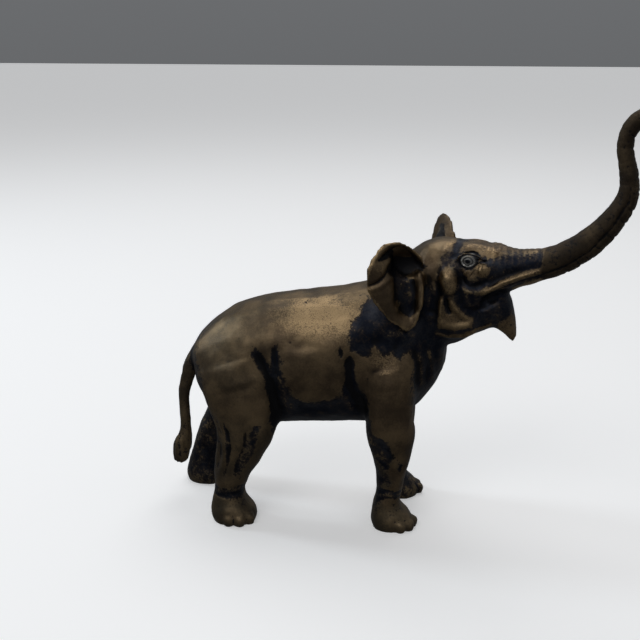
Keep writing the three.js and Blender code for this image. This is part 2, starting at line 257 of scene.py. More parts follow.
def coordinates(mesh):
    """Every point of a mesh in metres, one row each."""
    place = np.empty(len(mesh.vertices) * 3, np.float32)
    mesh.vertices.foreach_get("co", place)
    return place.reshape(-1, 3)


def set_coordinates(mesh, place):
    mesh.vertices.foreach_set("co", place.astype(np.float32).ravel())
    mesh.update()


class Surface:
    """A mesh's points in millimetres, seen from the body, from the head and from each ear."""

    def __init__(self, obj, settings):
        self.mesh = obj.data
        self.body = coordinates(self.mesh).astype(float) / MM - BODY_ORIGIN
        normal = np.empty(len(self.mesh.vertices) * 3, np.float32)
        self.mesh.vertex_normals.foreach_get("vector", normal)
        self.normal = normal.reshape(-1, 3).astype(float)
        cos, sin = math.cos(settings.head_turn), math.sin(settings.head_turn)
        self.straighten = np.array(((cos, -sin, 0), (sin, cos, 0), (0, 0, 1)))
        neck = np.array((*NECK, 0.0))
        self.head = (self.body - neck) @ self.straighten.T + neck
        self.head_normal = self.normal @ self.straighten.T
        self.side_view = self.body[:, (0, 2)]
        self.head_view = self.head[:, (0, 2)]
        flare = {RIGHT: settings.ear_flare, LEFT: settings.left_ear_flare}
        self.ears = {side: self.ear(side, flare[side]) for side in (RIGHT, LEFT)}
        self.on_ears = np.maximum(self.ears[RIGHT].belongs, self.ears[LEFT].belongs)
        reach, share = to_path(self.head_view, TRUNK_LINE)
        self.along = share * np.linalg.norm(np.diff(np.array(TRUNK_LINE), axis=0), axis=1).sum()
        self.on_trunk = smooth(self.head[:, 0], 58, 62) * (reach < 7)

    def on_side(self, side, head=False):
        """1 where the surface looks to that side."""
        normal = self.head_normal if head else self.normal
        where = self.head if head else self.body
        return smooth(side * normal[:, 1], 0.0, 0.35) * (side * where[:, 1] > 0)

    def ear(self, side, flare):
        """An ear's own view, back, up and out from its root, what belongs to it and what is its front."""
        away = self.head - np.array(EAR_ROOTS[side])
        back = np.array((-math.cos(flare), side * math.sin(flare), 0.0))
        out = np.array((math.sin(flare), side * math.cos(flare), 0.0))
        view = np.stack((away @ back, away[:, 2]), axis=1)
        height = away @ out
        rear = -2.9 - 5.4 * bell(view[:, 0], 6.8, 4.6) * bell(view[:, 1], 0.8, 3.6)
        belongs = inside(view, EAR_OUTLINE, 1.0) * (height < 3.2) * smooth(height, rear - 0.8, rear)
        belongs = belongs * (side * self.head[:, 1] > 0)
        front = smooth(self.head_normal @ out, -0.15, 0.35)
        plane = np.stack((back, (0.0, 0.0, 1.0)))
        return SimpleNamespace(view=view, height=height, belongs=belongs, front=front, plane=plane)

    def move(self, amount):
        """Moves every point along its normal by that many millimetres."""
        set_coordinates(self.mesh, (self.body + BODY_ORIGIN + self.normal * amount[:, None]) * MM)

    def swell_ears(self):
        """Widens each ear in its own plane, about its middle."""
        place = self.body + BODY_ORIGIN
        for side, ear in self.ears.items():
            share = EAR_SWELL[side] * ear.belongs * smooth(ear.view[:, 0], 0.5, 4.0)
            grown = (ear.view - EAR_MIDDLE) * share[:, None]
            place += grown @ ear.plane @ self.straighten
        set_coordinates(self.mesh, place * MM)

    def spread(self, values, rounds):
        """Values, averaged again and again with those of the neighbouring points."""
        ends = np.empty(len(self.mesh.edges) * 2, np.int32)
        self.mesh.edges.foreach_get("vertices", ends)
        a, b = ends.reshape(-1, 2).T
        count = len(self.body)
        near = np.bincount(a, minlength=count) + np.bincount(b, minlength=count)
        for _ in range(rounds):
            total = np.bincount(a, values[b], count) + np.bincount(b, values[a], count)
            values = 0.4 * values + 0.6 * total / near
        return values


# ---------------------------------------------------------------- modelling


def select_only(obj):
    bpy.ops.object.select_all(action="DESELECT")
    obj.select_set(True)
    bpy.context.view_layer.objects.active = obj


def apply_modifier(obj, kind, **values):
    select_only(obj)
    modifier = obj.modifiers.new(kind.title(), kind)
    for name, value in values.items():
        setattr(modifier, name, value)
    bpy.ops.object.modifier_apply(modifier=modifier.name)


def weigh(obj, name, weights):
    """A vertex group from one weight for each point, rounded to a few steps."""
    group = obj.vertex_groups.new(name=name)
    levels = np.round(np.clip(weights, 0, 1) * WEIGHT_STEPS).astype(int)
    for level in range(1, WEIGHT_STEPS + 1):
        group.add(np.nonzero(levels == level)[0].tolist(), level / WEIGHT_STEPS, "REPLACE")
    return group.name


def smooth_where(obj, name, weights, iterations):
    apply_modifier(obj, "SMOOTH", factor=0.5, iterations=iterations, vertex_group=weigh(obj, name, weights))
    obj.vertex_groups.clear()


def refine_where(obj, chosen):
    """Splits the faces whose points are all chosen into smaller ones."""
    select_only(obj)
    bpy.ops.object.mode_set(mode="EDIT")
    bpy.ops.mesh.select_mode(type="VERT")
    bpy.ops.mesh.select_all(action="DESELECT")
    bpy.ops.object.mode_set(mode="OBJECT")
    obj.data.vertices.foreach_set("select", chosen)
    bpy.ops.object.mode_set(mode="EDIT")
    bpy.ops.mesh.subdivide(number_cuts=1, smoothness=0.6)
    bpy.ops.object.mode_set(mode="OBJECT")


def fine_cast(settings):
    """The cast solid's surface as an even, fine mesh with its facets rounded away."""
    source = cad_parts[CAD_NODE]
    obj = bpy.data.objects.new("cast_elephant", source.data.copy())
    bpy.context.scene.collection.objects.link(obj)
    obj.data.materials.clear()
    select_only(obj)
    bpy.ops.object.mode_set(mode="EDIT")
    bpy.ops.mesh.select_all(action="SELECT")
    bpy.ops.mesh.remove_doubles(threshold=0.00002)
    bpy.ops.mesh.tris_convert_to_quads()
    bpy.ops.mesh.select_all(action="DESELECT")
    bpy.ops.object.mode_set(mode="OBJECT")
    obj.data.vertices.foreach_set("select", coordinates(obj.data)[:, 2] < ON_GROUND)
    bpy.ops.object.mode_set(mode="EDIT")
    bpy.ops.mesh.select_mode(type="VERT")
    bpy.ops.transform.edge_crease(value=0.9)  # the soles stay flat
    bpy.ops.object.mode_set(mode="OBJECT")
    apply_modifier(obj, "SUBSURF", levels=2)
    apply_modifier(obj, "REMESH", mode="VOXEL", voxel_size=settings.grain_size)
    return obj


def restore_bulk(obj, settings, share):
    """Gives back what rounding and smoothing took from the cast's size, without its facets."""
    tree = BVHTree.FromObject(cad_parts[CAD_NODE], bpy.context.evaluated_depsgraph_get())
    surface = Surface(obj, settings)
    lost = np.empty(len(surface.body))
    for index, (vertex, normal) in enumerate(zip(obj.data.vertices, surface.normal)):
        nearest = tree.find_nearest(vertex.co)[0]
        lost[index] = (nearest - vertex.co).dot(Vector(normal)) / MM
    surface.move(surface.spread(np.clip(lost, -1.2, 1.2), 12) * share)


def blend_joints(obj, settings):
    """Softens where the limbs, the neck and the tail run into the body, and the toes."""
    surface = Surface(obj, settings)
    x, y, z = surface.body.T
    hx, hz = surface.head[:, 0], surface.head[:, 2]
    guard = np.clip(3 * surface.spread(surface.on_ears, 8), 0, 1)
    not_ears = 1 - guard
    haunch = smooth(z, 26, 36) * (1 - smooth(z, 62, 70)) * smooth(np.abs(y), 6, 11)
    haunch = haunch * (1 - smooth(x, -6, 2)) * smooth(x, -39, -37)
    shoulder = smooth(z, 33, 42) * (1 - smooth(z, 66, 72)) * smooth(np.abs(y), 4, 9) * bell(x, 24, 13)
    neck = bell(x, 26, 13) * smooth(z, 46, 54) * (1 - smooth(hx, 36, 40))
    trunk_body = smooth(z, 30, 40) * (1 - smooth(x, 34, 40)) * smooth(x, -38, -30)
    joints = np.clip(np.maximum.reduce((haunch, shoulder, neck, 0.6 * trunk_body)), 0, 1) * not_ears
    smooth_where(obj, "joints", joints, 90)
    smooth_where(obj, "feet", 1 - smooth(z, 5.5, 8), 40)
    face = smooth(hx, 36, 40) * (1 - smooth(hx, 56, 60))
    face = face * (1 - bell(hx, 46.8, 4) * bell(hz, 84, 4)) * not_ears
    smooth_where(obj, "skin", np.maximum(0.9 * face, 0.6 * not_ears), 8)
    smooth_where(obj, "ears", guard, 8)
    creases = surface.spread(joints, 10)
    restore_bulk(obj, settings, (1 - 0.55 * creases) * (1 - guard))
    Surface(obj, settings).swell_ears()


def stroke(surface, path, width, depth, side=None, head=True):
    """A groove (depth below 0) or a ridge along a side-view path, on one side or both, fading at its ends."""
    distance, along = to_path(surface.head_view if head else surface.side_view, path)
    ends = np.minimum(smooth(along, -1e-6, FADE), smooth(1 - along, -1e-6, FADE))
    form = depth * np.exp(-((distance / width) ** 2)) * (0.2 + 0.8 * ends)
    sides = (RIGHT, LEFT) if side is None else (side,)
    return form * sum(surface.on_side(each, head) for each in sides)


def line(view, path, width, depth):
    """A groove (depth below 0) or a ridge along a path in an ear's own view."""
    return depth * np.exp(-((to_path(view, path)[0] / width) ** 2))


def carve_head(surface):
    """The lids, cheeks, lips and jaw folds of the turned head."""
    x, y, z = surface.head.T
    strokes = (
        # the cheek's long swelling, with a hollow before and behind it
        (((42.6, 80.6), (41.3, 78.3), (42.6, 76.0), (43.4, 74.2)), 1.9, 0.9),
        (((44.8, 82.2), (45.9, 79), (45.9, 75), (46.2, 70.5)), 1.0, -0.6),
        (((39.2, 82.5), (38.3, 78), (39.4, 74), (38.6, 69)), 1.2, -0.8),
        # the knob before the eye and the moon-shaped hollow under it
        (((49.9, 81.6), (51.0, 81.7)), 1.1, 0.55),
        (((46.4, 81.4), (48.2, 80.4)), 1.2, 0.35),
        (((45.2, 80.2), (46.0, 78.3), (47.7, 77.1), (49.8, 77.0), (51.4, 78.4)), 1.0, -0.85),
        (((45.3, 77.4), (46.8, 75.7), (49.2, 75.1), (51.7, 76.2), (53.0, 78.6)), 0.5, 0.3),
        # the upper lip's double ridge and the fold over it
        (((49.6, 74.2), (52.2, 75.6), (56.4, 78.4), (61.5, 80.6), (67, 82.8)), 0.7, 0.6),
        (((50.6, 73.6), (54.4, 75.6), (57.6, 77.4), (61.4, 79.2), (66, 81)), 0.35, -0.5),
        (((50.2, 77.4), (53.6, 78.8), (57.5, 80.9), (62, 82.6)), 0.8, -0.35),
        # the upper lid and the crease from the eye's front corner
        (((44.9, 84.6), (45.7, 85.6), (47.1, 86.0), (48.5, 85.7), (49.6, 84.9)), 0.35, -0.45),
        (((48.8, 85.4), (49.8, 84.8), (51.8, 83.9)), 0.38, -0.8),
        (((48.9, 84.1), (50.2, 83.5), (51.9, 83.2)), 0.3, 0.25),
        (((44.0, 86.6), (46.4, 87.4), (49.4, 87.2)), 0.9, 0.4),
        (((50.2, 86.8), (52.4, 86.3), (54.4, 85.8)), 0.9, 0.5),
        # the valley between the crown and the brow
        (((41.6, 88.6), (42.4, 86.4), (42.8, 84.0)), 1.1, -0.45),
        # the jaw: a crescent and the two tongues that rise from it
        (((39.6, 66.8), (41.2, 65.2), (44.4, 64.6), (47.6, 65.6), (49, 67)), 1.2, 0.6),
        (((40.3, 73.4), (40.1, 70.4), (40.3, 67.6)), 0.8, 0.6),
        (((43.0, 73.2), (44.2, 70.8), (46.2, 68.4), (48.2, 66.8)), 0.75, 0.6),
        (((41.7, 73.6), (42.0, 70.8), (43.2, 68.2)), 0.55, -0.85),
        (((45.8, 71.0), (49.2, 69.8), (53.0, 71.0)), 0.8, -0.45),
        (((38.4, 70.0), (38.6, 66.0), (38.2, 62.5)), 0.7, -0.4),
        (((38.0, 62.0), (42, 61.2), (46.5, 62.0), (50, 63.8), (53.4, 65.2)), 0.6, 0.45),
    )
    total = sum(stroke(surface, *each) for each in strokes)
    # the crown's short ridges and the folds over the root of the trunk
    for place in (34.8, 36.4, 38.0, 39.4):
        total += 0.2 * bell(x, place, 0.45) * bell(np.abs(y), 6.4, 1.8) * (z > 82)
    over = smooth(surface.head_normal[:, 2], 0.2, 0.7) * (z > 82)
    slant = x - 0.35 * np.abs(y)
    for place in (49.6, 51.2, 53.2, 54.8, 56.8, 58.4, 60.2, 61.6, 63.4):
        total += 0.16 * bell(slant, place, 0.5) * over * smooth(x, 49, 52)
    return total * (1 - surface.on_ears) * (1 - surface.on_trunk * smooth(surface.along, 14, 16))


def carve_eye(surface):
    """A round eyeball in a raised ring, in a slight socket."""
    across, up = surface.head[:, 0] - EYE[0], surface.head[:, 2] - EYE[1]
    cos, sin = EYE_TILT
    radius = np.hypot((cos * across + sin * up) / EYE_SIZE[0], (cos * up - sin * across) / EYE_SIZE[1])
    form = 0.32 * bell(radius, 0.9, 0.14) + 0.16 * bell(radius, 0.5, 0.1) + 0.25 * bell(radius, 0, 0.6)
    form += -0.16 * bell(radius, 0.7, 0.1) - 0.35 * bell(radius, 1.28, 0.2)
    return form * (surface.on_side(RIGHT, True) + surface.on_side(LEFT, True))


def carve_ears(surface):
    """The rolled rim, the deep cup under it, the channel, the fold, the strip and the edge of each ear."""
    total = np.zeros(len(surface.body))
    for side in (RIGHT, LEFT):
        ear = surface.ears[side]
        view = ear.view
        s, t = view.T
        front = ear.front * ear.belongs
        total += front * (
            -1.5 * inside(view, EAR_CUP, 1.1)
            - 0.7 * inside(view, EAR_CHANNEL, 0.8)
            + line(view, ((3.4, -1.9), (3.0, -4.4), (3.1, -8.5), (3.6, -13), (4.9, -16.6)), 0.75, 0.7)
            + line(view, ((5.1, -4.4), (4.9, -8.5), (5.0, -12.5)), 0.45, -0.7)
            + line(view, ((13.3, 0.4), (14.2, -0.8), (16.8, -2.8), (19.4, -3.6)), 0.5, -0.8)
            + line(view, ((11.2, -2.2), (13.2, -2.2), (16.4, -3.8), (18.4, -4.6)), 0.6, 0.45)
            + 0.6 * bell(s, 15.8, 2.0) * bell(t, 0.8, 1.6)
            + 0.6 * bell(s, 14.0, 2.6) * bell(t, -7.5, 4.0)
            + 0.6 * bell(s, EAR_KNOB[0], 1.5) * bell(t, EAR_KNOB[1], 1.3)
        )
        rim = ((12.8, 7.4), (9.2, 7.3), (6.2, 5.9), (2.7, 3.9), (0.0, 1.9), (-1.8, -0.2))
        total += line(view, rim, 0.8, 0.85) * 0.6 * ear.front * ear.belongs
        gap = line(view, ((0.8, -1.8), (-0.4, -4.5), (-0.6, -9), (-0.2, -13)), 1.0, -0.6)
        gap = gap * (1 - ear.belongs) * smooth(5 - np.abs(ear.height), 0, 2)
        total += gap * (side * surface.head[:, 1] > 0)
    return total


def carve_trunk(surface):
    """Close rings round the trunk, deeper on its underside, and the edge of that flat underside."""
    y = surface.head[:, 1]
    rings = np.zeros(len(y))
    under = smooth(-surface.head_normal[:, 2] + 0.9 * surface.head_normal[:, 0], 0.3, 1.0)
    place = 16.5
    for count in range(36):
        place += 1.25 + 0.35 * math.sin(2.3 * count)
        depth = 0.05 + 0.04 * math.sin(3.1 * count) + 0.26 * under * (count % 3 == 1)
        rings -= depth * bell(surface.along + 0.25 * y * math.sin(1.7 * count), place, 0.36)
    edge = stroke(surface, TRUNK_EDGE, 0.4, -0.4)
    return (rings * smooth(surface.along, 16, 19) + edge) * surface.on_trunk


def carve_body(surface):
    """Flank folds, haunch and shoulder muscles, knees, shins and tail hair."""
    x, y, z = surface.body.T
    torso = (
        # the fold before the haunch, running down into the groin
        (((-17.4, 57), (-15.2, 52), (-12.6, 47), (-11.4, 42), (-10.6, 36), (-12, 31)), 2.1, -1.5),
        (((-11.4, 58), (-11.0, 53), (-10.4, 48)), 1.1, -0.7, RIGHT),
        # the swollen belly between two folds
        (((10.6, 57), (10.8, 51), (11.2, 46), (13.8, 40), (15, 35)), 1.8, -1.3),
        (((8.3, 58), (8.6, 55)), 0.7, -0.7, RIGHT),
        (((-2.5, 58), (-1.5, 50), (1.5, 45)), 6.5, 0.5),
        (((-6, 39.2), (0, 37.6), (6, 39.6)), 2.0, -0.5),
        # haunch and shoulder
        (((-25, 52), (-22, 44)), 6.0, 0.7),
        (((21, 52), (22.6, 46)), 4.4, 0.5),
        (((16, 60), (20.4, 59.6), (25.6, 58)), 1.8, -0.5),
        # the neck's upright folds over the chest
        (((29.0, 58.5), (30.6, 52), (30.4, 45)), 0.9, -0.5),
        (((31.8, 58.5), (33.4, 52), (33.2, 45)), 0.9, -0.5),
        (((34.4, 58.5), (36.0, 52), (35.8, 45)), 0.9, -0.5),
    )
    total = sum(stroke(surface, *each, head=False) for each in torso)
    total *= (1 - surface.on_ears) * (1 - smooth(surface.head[:, 0], 36, 40))
    shins = (
        (((-30, 36), (-27.4, 29), (-28.2, 22), (-30, 16)), 0.8, -0.55, RIGHT),
        (((-26.4, 34), (-24.4, 27), (-25.8, 20), (-27.6, 14)), 0.8, -0.6, RIGHT),
        (((-19.4, 33), (-20.0, 27), (-22.6, 21), (-23.4, 15)), 0.8, -0.5, RIGHT),
        (((-28.2, 30), (-26.0, 23), (-27.0, 17)), 0.8, 0.45, RIGHT),
        (((-31, 11.6), (-26, 12.2), (-21.4, 12.6)), 0.5, -0.3, RIGHT),
        (((-31, 9.4), (-26, 9.8), (-21.2, 10.4)), 0.5, -0.35, RIGHT),
        (((19.5, 30), (22.6, 27), (25.6, 23.5)), 1.0, -0.4, RIGHT),
        (((19.5, 24), (23.0, 20.6), (26.4, 17.4)), 0.9, -0.4, RIGHT),
        (((26.8, 22.5), (26.0, 19.4)), 0.7, -0.45, RIGHT),
        (((19, 12.4), (23, 13.3), (27.4, 12.4)), 0.6, -0.4),
        (((19, 10), (23, 10.9), (28, 10.2)), 0.5, -0.3),
    )
    total += sum(stroke(surface, *each, head=False) for each in shins) * smooth(38 - z, 0, 5)
    tail = (x < -40.4) * (np.abs(y) < 4) * (1 - smooth(z, 18, 23))
    return total + 0.25 * np.sin(np.arctan2(y, x + 44.8) * 7 + z * 0.25) * tail


def carve_toes(surface):
    """Low toes with a flat nail each, parted by short grooves."""
    total = np.zeros(len(surface.body))
    x, y, z = surface.body.T
    for fx, fy, facing, radius in FEET:
        away = np.hypot(x - fx, y - fy)
        bearing = np.degrees(np.arctan2(np.sign(fy) * (y - fy), x - fx))
        near = smooth(away, radius - 2.6, radius - 1.2) * (away < radius + 4)
        low = (1 - smooth(z, 3.4, 5.0)) * near
        for gap in (-47, -16.5, 16.5, 47):
            total -= 0.4 * bell(bearing, facing + gap, 4.5) * low
        for toe in (-32, 0, 32):
            nail = 0.25 * bell(z, 1.7, 1.2) - 0.3 * bell(z, 3.8, 0.5)
            total += nail * bell(bearing, facing + toe, 9.0) * near
    return total


def roughen(surface):
    """The slight unevenness of a hand-worked wax, kept by the casting."""
    places = [Vector(place) for place in surface.body]
    wave = np.array([noise.noise(place / 6.5) + 0.4 * noise.noise(place / 2.4) for place in places])
    return wave * (0.3 - 0.14 * smooth(surface.head[:, 0], 40, 46)) * smooth(surface.body[:, 2], 1.5, 5)


def flatten_soles(obj):
    """The four feet stand flat on the ground."""
    place = coordinates(obj.data)
    height = place[:, 2]
    place[:, 2] = np.where(height < SOLE_TOP, height * smooth(height, SOLE_FLAT, SOLE_TOP), height)
    set_coordinates(obj.data, place)


# ---------------------------------------------------------------- where the patina is worn, with the painted highlight, reflection and shadows

# The patches of patina, in side view: an outline, how worn it is from 0 to 1, and how soft its edge is.
BODY_PATCHES = (
    (
        ((-46, 80), (-34, 62), (-24, 64.5), (-10, 67), (4, 68), (14, 70), (22, 80), (0, 90), (-46, 90)),
        0.6,
        3.0,
    ),
    (
        (
            (-18.2, 57.2), (-17.6, 54.1), (-15.5, 52.3), (-13.9, 50), (-13.4, 45.9), (-12.7, 42.4),
            (-12.2, 38), (-13, 31), (-12, 24), (18, 24), (17.4, 36.9), (16.7, 41.9), (15.1, 44.2),
            (13.7, 47.9), (12.6, 51.7), (12, 54.7), (10.6, 55.5), (9.2, 52.5), (9.6, 48.5), (7.7, 43.6),
            (4.7, 41.7), (1.7, 40.6), (-2.1, 40.8), (-4.4, 42.5), (-6.3, 44.8), (-7.4, 47.4), (-8, 50.4),
            (-8.3, 53.4), (-9.6, 56.4), (-10.2, 58.3), (-11.8, 57.4), (-11.9, 54.9), (-12.8, 53.1),
            (-14.3, 54.7), (-16.2, 56.4),
        ),
        0.0,
        1.5,
    ),
    (((7.6, 58.5), (8.2, 59), (8.8, 55.5), (8.2, 54)), 0.1, 0.6),
    (
        (
            (16, 71.5), (13.2, 68.6), (12.5, 66.9), (10.9, 65.1), (10, 62.5), (10.1, 59), (11.1, 57),
            (12.8, 55.9), (16.5, 55.3), (17.1, 57.6), (18.1, 58.8), (19.3, 57), (20.6, 55.5),
            (22.7, 56.9), (24, 55.2), (25.2, 54.3), (26.4, 56.2), (28.4, 57), (31, 54), (32, 46),
            (34, 40), (44, 46), (46, 60), (40, 66), (36, 72), (30, 80), (24, 80), (20, 76),
        ),
        0.0,
        1.5,
    ),
    (((32.8, 57), (34, 57), (35.4, 52), (36.4, 46), (34.6, 46), (34.0, 52)), 0.75, 0.8),
    (((29.4, 56), (30.4, 56), (31.4, 51), (32, 46), (31, 46), (30.4, 51)), 0.55, 0.7),
)
LEG_PATCHES = (
    (((-38, 40), (-36, 30), (-38, 10), (-24, 8), (-20, 16), (-17, 24), (-22, 32)), 0.6, 3.0),
    (((-44, 9.6), (-20, 9.6), (-14, 0), (-48, 0)), 0.5, 1.5),
    (((-17.6, 34), (-15.0, 33), (-16.6, 26), (-20, 19), (-22.4, 14), (-22.6, 19), (-19.8, 26)), 0.05, 0.9),
    (((-26.6, 35), (-25, 30), (-24.6, 26), (-26.0, 20), (-26.4, 27)), 0.15, 0.8),
    (((-30.4, 34), (-28.2, 28), (-29.2, 21), (-30.6, 16), (-30.2, 27)), 0.15, 0.8),
    (
        ((-33.6, 12.4), (-28, 11.6), (-24, 12.2), (-19.6, 13.4), (-19.6, 9.2), (-25, 8.6), (-33.8, 9)),
        0.08,
        1.2,
    ),
    (((16, 9.6), (36, 9.6), (40, 0), (12, 0)), 0.55, 1.5),
    (
        (
            (17.6, 32), (20.4, 31.6), (23.2, 30), (24.4, 23.4), (22.4, 20), (24.6, 16), (21.6, 12.4),
            (20.4, 6), (14, 5), (14, 20),
        ),
        0.03,
        1.0,
    ),
    (((25.4, 24), (27, 22.4), (26.4, 19), (25.0, 20.4)), 0.15, 0.7),
    (((18, 12.6), (23, 13.6), (28.2, 12.6), (28.6, 9.8), (23, 10.6), (18, 9.6)), 0.05, 0.8),
)
HEAD_PATCHES = (
    (((26, 92), (26, 78), (36, 78), (43, 84), (52, 82), (58, 84), (66, 92)), 0.36, 2.0),
    (((33, 75), (40, 76), (52, 74), (54, 64), (60, 58), (40, 56), (30, 56)), 0.06, 2.0),
    (
        ((50.5, 79.5), (55, 80.8), (60, 82.2), (67.4, 84), (67.4, 86.2), (60, 85.6), (54, 85), (50.6, 84)),
        0.0,
        0.9,
    ),
    (((49, 88.5), (49, 86.6), (56, 86.2), (67, 87.2), (67, 91)), 0.6, 0.9),
    (((31.6, 87), (34, 85.6), (38.2, 85.4), (41.2, 86.6), (40, 89.5), (33, 89.5)), 0.8, 1.3),
    (
        (
            (43.4, 86), (46, 86.6), (48.6, 86.9), (50.6, 85.6), (54.4, 85.0), (54.8, 88), (50, 89.5),
            (45, 88.6),
        ),
        0.78,
        1.1,
    ),
    (((41, 89.4), (42.8, 89.4), (43.2, 85.8), (43.2, 83.6), (41.6, 84.2), (41.4, 86.6)), 0.05, 0.8),
    (((48.6, 82.9), (49.4, 80.4), (51, 79.5), (52.6, 80.3), (52.9, 82.2), (51.4, 83.2)), 0.9, 0.7),
    (((45.3, 82.2), (47.4, 81.2), (49.3, 81.3), (49.2, 79.2), (47.2, 79.3), (45.6, 80.4)), 0.68, 0.7),
    (
        (
            (45.0, 80.6), (46.4, 79.6), (48.4, 78.6), (50.6, 78.6), (51.6, 79.2), (52.2, 77.4),
            (49.6, 75.6), (47, 76), (45.2, 78),
        ),
        0.0,
        0.7,
    ),
    (
        (
            (41.6, 82.2), (43.4, 80.6), (44.5, 78.4), (44.3, 75.2), (43.8, 73.6), (42.6, 74.4),
            (41.0, 76), (39.8, 77.6), (39.1, 79.0), (39.7, 80.8),
        ),
        0.78,
        0.7,
    ),
    (
        (
            (40.9, 74), (40.9, 71), (41.3, 69), (42.6, 68.8), (42.6, 70.6), (42.2, 73.4), (43.4, 73.6),
            (45.2, 71), (46.9, 68.8), (49, 67.4), (48.5, 65.2), (44.1, 63.6), (39.6, 63.8), (39.3, 66.4),
            (39.8, 68.6), (39.3, 71), (39.6, 73.4),
        ),
        0.76,
        0.7,
    ),
    (((37.6, 71), (38.4, 71), (38.5, 66), (37.8, 65)), 0.5, 0.6),
    (
        (
            (38, 62.9), (42, 62.1), (46.5, 62.9), (50, 64.6), (53.4, 66), (53.4, 64.6), (50, 63),
            (46.5, 61.5), (42, 60.7), (38, 61.4),
        ),
        0.6,
        0.6,
    ),
    (
        (
            (50.2, 75.0), (53.6, 77.5), (57, 79.9), (60.9, 81.7), (67.4, 83.6), (67.6, 81.8),
            (61.1, 79.8), (57.3, 78.1), (54.7, 76.6), (51.0, 74.4),
        ),
        0.82,
        0.6,
    ),
    (
        (
            (50.4, 73.4), (53.5, 75.2), (57.6, 77.2), (60, 78.4), (59, 72), (57.0, 67), (54.5, 69),
            (51.8, 71),
        ),
        0.0,
        0.7,
    ),
    (((56.4, 67), (58.6, 68), (60, 64), (59.6, 59.4), (57.4, 60.2), (54.6, 63.8)), 0.55, 0.9),
)
# The ear's patches in its own view; the black cup and the line beside the strip are painted shadow.
EAR_PATCHES_AND_SHADOWS = (
    (EAR_CHANNEL, 0.3, 0.6),
    # painted shadow: the cup under the rolled rim is left black
    (EAR_CUP, 0.0, 0.7),
    # painted shadow: the dark line along the strip's back edge, as cast by the strip
    (((4.6, -3.4), (5.4, -4), (5.3, -9), (5.4, -13.2), (4.4, -13.6), (4.4, -8)), 0.0, 0.4),
)


def layered(base, view, patches, share=1.0):
    """The base value, with each patch laid over it in turn."""
    for outline, value, edge in patches:
        base = base + (value - base) * inside(view, outline, edge) * share
    return base


